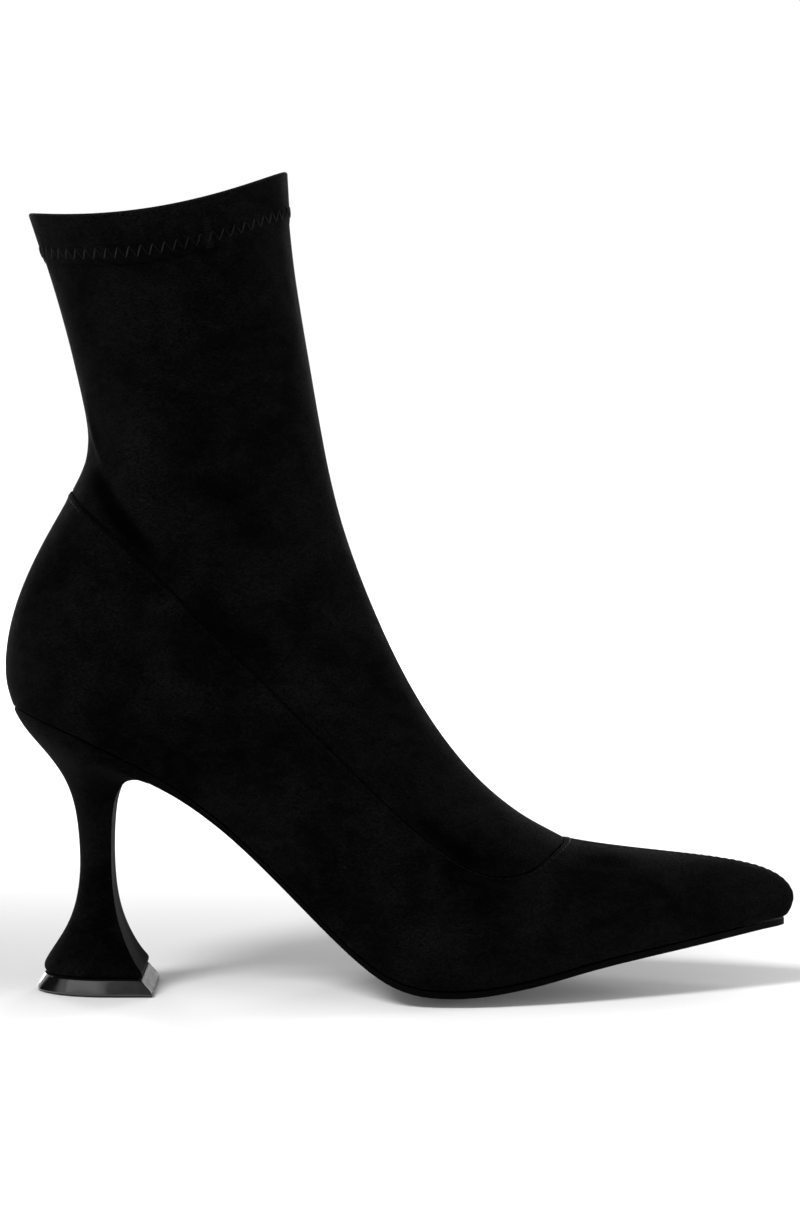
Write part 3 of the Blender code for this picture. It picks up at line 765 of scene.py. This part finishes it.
upper_top = len(upper_rows) - 1
upper_up = np.unique(np.concatenate([np.linspace(0, upper_top, UPPER_ROWS), UPPER_FOOT_ROWS,
                                     upper_top - np.array(UPPER_SEAM_ROWS)]))
upper_skin = cut_back(surface(upper_rows, upper_up, around), FEATHER_RIM)
upper_skin = cut_back(upper_skin[::-1], SEAM_RIM - SEAM_CLOSE)[::-1]
upper_skin = let_down(upper_skin / MM) * MM
to_edge = reach(upper_skin[::-1])[::-1]
across = reach(upper_skin.transpose(1, 0, 2)).T
from_toe = np.abs(across - across[:, toe_at:toe_at + 1])
from_toe[:, np.abs(around - toe) > TOE_NEAR] = np.inf
lap = LAP_RISE * (1 - smooth_step(0.2, LAP_REACH, to_edge))
lap *= 1 - LAP_FAINT * smooth_step(*LAP_FAINT_X, upper_skin[..., 0] / MM)
groove = TOE_GROOVE * np.exp(-(from_toe / TOE_GROOVE_WIDE) ** 2) * smooth_step(0.5, 2.0, to_edge)
upper_sunk = folds_in(upper_skin, "upper")
upper_skin = upper_skin + ((lap - groove - upper_sunk) * MM)[..., None] * outward(upper_skin)
upper_seam = seam_shade(upper_skin[-1])
# Painted shade: darker in the troughs of the folds, in the toe seam's groove and along the seam.
upper_hollow_shade = (np.clip(upper_sunk / 0.8, 0, 1) + 0.8 * groove / TOE_GROOVE
                + 0.6 * upper_seam * (1 - smooth_step(0, 0.3, to_edge)))

shaft_up = np.unique(np.concatenate([np.linspace(0, len(shaft_rows) - 1, SHAFT_ROWS), SHAFT_SEAM_ROWS]))
shaft_skin = cut_back(surface(shaft_rows, shaft_up, around), SEAM_RIM - SEAM_CLOSE)
shaft_skin = cut_back(shaft_skin[::-1], COLLAR_RIM)[::-1]
below_collar = reach(shaft_skin[::-1])[::-1]
hem = HEM_RISE * (1 - smooth_step(HEM_DEEP - HEM_STEP, HEM_DEEP + HEM_STEP, below_collar))
shaft_sunk = folds_in(shaft_skin, "shaft")
shaft_skin = shaft_skin + ((hem - shaft_sunk) * MM)[..., None] * outward(shaft_skin)
shaft_seam = seam_shade(shaft_skin[0])
under_hem = np.exp(-((below_collar - HEM_DEEP - 0.5) / HEM_STEP) ** 2)
# Painted shade: darker in the troughs of the folds, under the hem's step and along the seam.
shaft_hollow_shade = (np.clip(shaft_sunk / 1.25, 0, 1) + 0.6 * under_hem
                + 0.6 * shaft_seam * (1 - smooth_step(0, 0.4, reach(shaft_skin))))

# Painted shade in the rims at the feather and the seam, and painted light on the collar's rim.
upper_rims = Rim(FEATHER_RIM, 0.7, 0), Rim(SEAM_RIM, upper_seam, 0)
upper_shell = suede_shell("suede_upper", upper_skin, UPPER_WALL, upper_rims, upper_hollow_shade)
finish_piece(upper_shell, "suede", black_suede, lining, node="upper")
shaft_rims = Rim(SEAM_RIM, shaft_seam, 0), Rim(COLLAR_RIM, 0, 3)
shaft_shell = suede_shell("suede_shaft", shaft_skin, SHAFT_WALL, shaft_rims, shaft_hollow_shade)
finish_piece(shaft_shell, "suede", black_suede, lining, node="shaft")

# Sole, heel, lift and insole
sole_plate = softened_copy("outsole", "sole_plate", SOLE_EDGE, 2, 1)
place_corners(sole_plate, let_down(corners(sole_plate)[0]))
sole_points, sole_normals = corners(sole_plate)
# Painted highlight on the sole's edge: paler toward the toe and on its upward-facing top bevel.
toward_toe = smooth_step(30, 112, sole_points[:, 0])
brow = smooth_step(0.2, 0.5, sole_normals[:, 2])
mark(sole_plate, "painted_edge_light", 0.07 * toward_toe ** 2 + brow * (0.2 + 0.5 * toward_toe))
finish_piece(sole_plate, "sole_sheet", sheet, node="outsole")

covered_heel = softened_copy("heel", "covered_heel", HEEL_EDGE, 2, 2, HEEL_ROLL)
draw_lip(covered_heel)
heel_points, heel_normals = corners(covered_heel)
heel_across, heel_up = heel_points[:, 1], heel_points[:, 2]
toward_front = heel_normals[:, 0]
# Painted light and shade by the way the heel's faces turn: lighter at the back and on the breast, but darker
# on the sides and low on the breast's inner half.
back_painted_light = (0.35 + 0.6 * smooth_step(50, 70, heel_up)) * smooth_step(-0.2, -0.9, toward_front)
side_painted_shade = -0.45 * smooth_step(-0.3, 0.2, toward_front) * smooth_step(0.8, 0.5, toward_front)
inner_half = smooth_step(-3, 5, heel_across) * smooth_step(50, 25, heel_up)
front_painted_light_and_shade = (1.1 - 1.9 * inner_half) * smooth_step(0.6, 0.9, toward_front)
mark(covered_heel, "lie_and_painted_light", back_painted_light + side_painted_shade + front_painted_light_and_shade)
finish_piece(covered_heel, "suede", black_suede, node="heel")

glossy_lift = softened_copy("heel_lift", "glossy_lift", LIFT_EDGE, 3, 2)
lean_lift(glossy_lift)
for face in glossy_lift.data.polygons:
    if not LIFT_FOOT < face.center.z / MM < LIFT_LEDGE:
        face.material_index = 1
    elif face.normal.x > LIFT_FRONT:
        face.material_index = 2
finish_piece(glossy_lift, "gloss_plastic", plastic, tread, front_plastic, node="heel_lift")

sock_insole = softened_copy("insole", "sock_insole", INSOLE_EDGE, 2, 1)
place_corners(sock_insole, let_down(corners(sock_insole)[0]))
finish_piece(sock_insole, "lining", lining, node="insole")


# Stitches: one thread, thick in the middle and sunk at its ends, laid again and again on a skin
def thread_model():
    """Points and faces of one stitch, one unit long and thick each way from its middle."""
    bpy.ops.object.select_all(action="DESELECT")
    bpy.ops.mesh.primitive_uv_sphere_add(segments=8, ring_count=7, radius=1)
    model = bpy.context.object
    edit(model)
    bpy.ops.mesh.select_all(action="SELECT")
    bpy.ops.transform.rotate(value=math.pi / 2, orient_axis="Y", center_override=(0, 0, 0))
    close_edit()
    points = np.array([vertex.co for vertex in model.data.vertices])
    faces = [tuple(face.vertices) for face in model.data.polygons]
    bpy.data.objects.remove(model)
    return points, faces


thread_points, thread_faces = thread_model()


def stitches(name, ends, radius, lift, thread, painted_glint=None):
    """Joined mesh of stitches, each from one point to another on a skin with a normal."""
    points, faces = [], []
    for start, end, normal in ends:
        along = (end - start) / 2
        ahead = unit(along)
        side = unit(np.cross(normal, ahead))
        top = np.cross(ahead, side)
        base = len(points) * len(thread_points)
        points.append((start + end) / 2 + lift * MM * normal + thread_points[:, :1] * along
                      + radius * MM * (thread_points[:, 1:2] * side + thread_points[:, 2:] * top))
        faces.extend(tuple(base + corner for corner in face) for face in thread_faces)
    row = new_piece(name, np.concatenate(points), faces)
    mark(row, "painted_glint", np.repeat(np.ones(len(ends)) if painted_glint is None else painted_glint, len(thread_points)))
    finish_piece(row, "suede", thread)


def on_skin(skin, column, depth):
    """Point and normal of a fine skin at a place in its columns and a length down from its upper rim."""
    left = math.floor(column) % skin.points.shape[1]
    part = column - math.floor(column)
    point, normal = np.zeros(3), np.zeros(3)
    for index, share in ((left, 1 - part), ((left + 1) % skin.points.shape[1], part)):
        lengths = skin.down[::-1, index]
        for axis in range(3):
            point[axis] += share * np.interp(depth, lengths, skin.points[::-1, index, axis])
            normal[axis] += share * np.interp(depth, lengths, skin.normals[::-1, index, axis])
    return point, unit(normal)


def pitched(line, pitch):
    """Places in the columns a pitch apart along a closed row of points."""
    closed = np.concatenate([line, line[:1]])
    lengths = np.concatenate([[0], np.cumsum(np.linalg.norm(np.diff(closed, axis=0), axis=1))]) / MM
    count = int(round(lengths[-1] / pitch))
    return np.interp(np.arange(count + 1) * lengths[-1] / count, lengths, np.arange(len(closed)))


def between(skin, first, last):
    """Stitch from one place on a skin to another."""
    start, normal = on_skin(skin, *first)
    end, other = on_skin(skin, *last)
    return start, end, unit(normal + other)


Skin = namedtuple("Skin", "points normals down")
shaft_face = Skin(shaft_skin, outward(shaft_skin), reach(shaft_skin[::-1])[::-1])
upper_face = Skin(upper_skin, outward(upper_skin), reach(upper_skin[::-1])[::-1])

turns = pitched(shaft_skin[-1], ZIGZAG_PITCH)
low, high = ZIGZAG_BELOW + ZIGZAG_HIGH, ZIGZAG_BELOW
legs = []
painted_glint = []
for here, after in zip(turns, turns[1:]):
    middle = (here + after) / 2
    legs.append(between(shaft_face, (here, low), (middle, high)))
    legs.append(between(shaft_face, (middle, high), (after, low)))
    # Painted glint: legs slanting toward the lamp are lighter, and all fade toward the front.
    light = 1 - ZIGZAG_FADE * smooth_step(*ZIGZAG_FADE_X, legs[-1][0][0] / MM)
    painted_glint.extend((light, ZIGZAG_AWAY * light))
stitches("hem_zigzag", legs, ZIGZAG_THREAD, ZIGZAG_LIFT, hem_thread, painted_glint)

outer = np.arange(toe_at)
tack_at = int(outer[np.abs(shaft_skin[-1, outer, 0] / MM - TACK_X).argmin()])
column_wide = np.linalg.norm(shaft_skin[-1, tack_at + 1] - shaft_skin[-1, tack_at]) / MM
tack_half = TACK_WIDE / column_wide / 2
tack = [between(shaft_face, (tack_at - tack_half, depth), (tack_at + tack_half, depth + TACK_SLANT))
        for depth in np.arange(TACK_BELOW, TACK_BELOW + TACK_HIGH, TACK_STEP)]
stitches("hem_tack", tack, TACK_THREAD, TACK_LIFT, hem_thread, np.full(len(tack), TACK_LIGHT))

holes = pitched(upper_skin[-1], EDGE_STITCH)
edge_row = []
for here, after in zip(holes, holes[1:]):
    gap = EDGE_GAP * (after - here)
    edge_row.append(between(upper_face, (here + gap, EDGE_INSET), (after - gap, EDGE_INSET)))
# Painted glint on the seam's stitches, fainter toward the top of the vamp.
edge_light = seam_shade(np.array([start for start, _, _ in edge_row]))
stitches("edge_stitches", edge_row, EDGE_THREAD, 0, seam_thread, edge_light)

# Two rows down the toe, one on each side of its middle seam
toe_rows = []
toe_stops = np.arange(TOE_BARE[0], upper_face.down[0, toe_at] - TOE_BARE[1], EDGE_STITCH)
for side in (-1, 1):
    for high_end, low_end in zip(toe_stops, toe_stops[1:]):
        ends = []
        for depth in (high_end + TOE_GAP, low_end - TOE_GAP):
            row = int(np.abs(upper_face.down[:, toe_at] - depth).argmin())
            columns = np.arange(toe_at, toe_at + side * TOE_FINE * TOE_EACH, side)
            place = float(np.interp(TOE_INSET, from_toe[row, columns], columns))
            ends.append((place, depth))
        toe_rows.append(between(upper_face, *ends))
stitches("toe_stitches", toe_rows, EDGE_THREAD, TOE_LIFT, toe_thread)


# Studio
def studio_floor():
    """White floor with painted shadow.

    The camera sees it a little greyer in a soft band under and behind the boot.
    """
    bpy.ops.object.select_all(action="DESELECT")
    bpy.ops.mesh.primitive_plane_add(size=FLOOR_SIZE, location=(0, 0, 0))
    floor = bpy.context.object
    floor.name = "studio_floor"
    material, tree, shader = new_material(
        "white_floor_painted_shadow", Roughness=1.0, Specular_IOR_Level=0.0, Emission_Color=(1, 1, 1, 1),
        Emission_Strength=FLOOR_GLOW)
    parted = tree.nodes.new("ShaderNodeSeparateXYZ")
    tree.links.new(object_place(tree), parted.inputs[0])
    x, y, _ = parted.outputs
    # Painted shadow, seen only by the camera: a band under and behind the boot, and a greyer floor round it.
    nearer = ranged(tree, y, *BAND_NEAR, 0.0, 1.0)
    farther = ranged(tree, y, *BAND_FAR, 1.0, 0.0)
    left = ranged(tree, x, *BAND_LEFT, 0.0, 1.0)
    right = ranged(tree, x, *BAND_RIGHT, FLOOR_OPEN - FLOOR_BAND, 0.0)
    along = figure(tree, "MULTIPLY", left, right)
    shadow_band = figure(tree, "MULTIPLY", figure(tree, "MULTIPLY", nearer, farther), along)
    away = figure(tree, "MAXIMUM", figure(tree, "ABSOLUTE", x, 0.0), figure(tree, "ABSOLUTE", y, 0.0))
    round_boot = ranged(tree, away, *FLOOR_FAR, FLOOR_WHITE - FLOOR_OPEN, 0.0)
    seen = tree.nodes.new("ShaderNodeLightPath").outputs["Is Camera Ray"]
    painted_shadow = figure(tree, "MULTIPLY", figure(tree, "ADD", shadow_band, round_boot), seen)
    coloured(tree, shader, figure(tree, "SUBTRACT", FLOOR_WHITE, painted_shadow), (0, 0, 0), (1, 1, 1))
    floor.data.materials.append(material)


def soft_light(given):
    bpy.ops.object.select_all(action="DESELECT")
    bpy.ops.object.light_add(type="AREA", location=given.place)
    light = bpy.context.object
    light.name = given.name
    light.data.shape = "RECTANGLE"
    light.data.size, light.data.size_y = given.size
    light.data.energy = given.power
    light.rotation_euler = (Vector(given.aim) - Vector(given.place)).to_track_quat("-Z", "Y").to_euler()


def far_lamp():
    """Lamp so far off that its light falls the same way everywhere."""
    bpy.ops.object.select_all(action="DESELECT")
    bpy.ops.object.light_add(type="SUN", location=LAMP_TOWARD)
    light = bpy.context.object
    light.name = "high_lamp"
    light.data.angle = LAMP_ANGLE
    light.data.energy = LAMP_STRENGTH
    light.rotation_euler = (-Vector(LAMP_TOWARD)).to_track_quat("-Z", "Y").to_euler()


def studio_world():
    """White room with a dimmer ceiling and two dim bays, which only the boot and the floor find in it."""
    world = bpy.data.worlds.new("studio")
    bpy.context.scene.world = world
    world.use_nodes = True
    tree = world.node_tree
    parted = tree.nodes.new("ShaderNodeSeparateXYZ")
    tree.links.new(tree.nodes.new("ShaderNodeTexCoord").outputs["Generated"], parted.inputs[0])
    x, y, z = parted.outputs
    turn = figure(tree, "ARCTAN2", x, figure(tree, "MULTIPLY", y, -1.0))
    behind = ranged(tree, figure(tree, "ABSOLUTE", turn, 0.0), *BAY_CAMERA, BAY_CAMERA_LIGHT, 1.0)
    from_bay = figure(tree, "ABSOLUTE", figure(tree, "ADD", turn, -BAY_MIDDLE), 0.0)
    beside = ranged(tree, from_bay, *BAY_HALF, 0.0, 1.0)
    above = ranged(tree, z, *BAY_TOP, 0.0, 1.0)
    low = figure(tree, "MAXIMUM", figure(tree, "MULTIPLY", behind, beside), above)
    light = figure(tree, "MULTIPLY", low, ranged(tree, z, *CEILING, 1.0, CEILING_LIGHT))
    seen = tree.nodes.new("ShaderNodeLightPath").outputs["Is Camera Ray"]
    tree.links.new(figure(tree, "MAXIMUM", light, seen), tree.nodes["Background"].inputs["Strength"])
    tree.nodes["Background"].inputs["Color"].default_value = (1, 1, 1, 1)


studio_floor()
far_lamp()
for light in LIGHTS:
    soft_light(light)
studio_world()

bpy.ops.object.camera_add(location=CAMERA_PLACE, rotation=(math.radians(90 - CAMERA_DOWN), 0, 0))
camera = bpy.context.object
camera.name = "photo_camera"
camera.data.sensor_width = CAMERA_FILM
camera.data.lens = CAMERA_REACH * CAMERA_FILM
camera.data.clip_start = 0.01
bpy.context.scene.camera = camera
bpy.context.scene.view_settings.view_transform = "Standard"
bpy.context.scene.view_settings.look = "None"
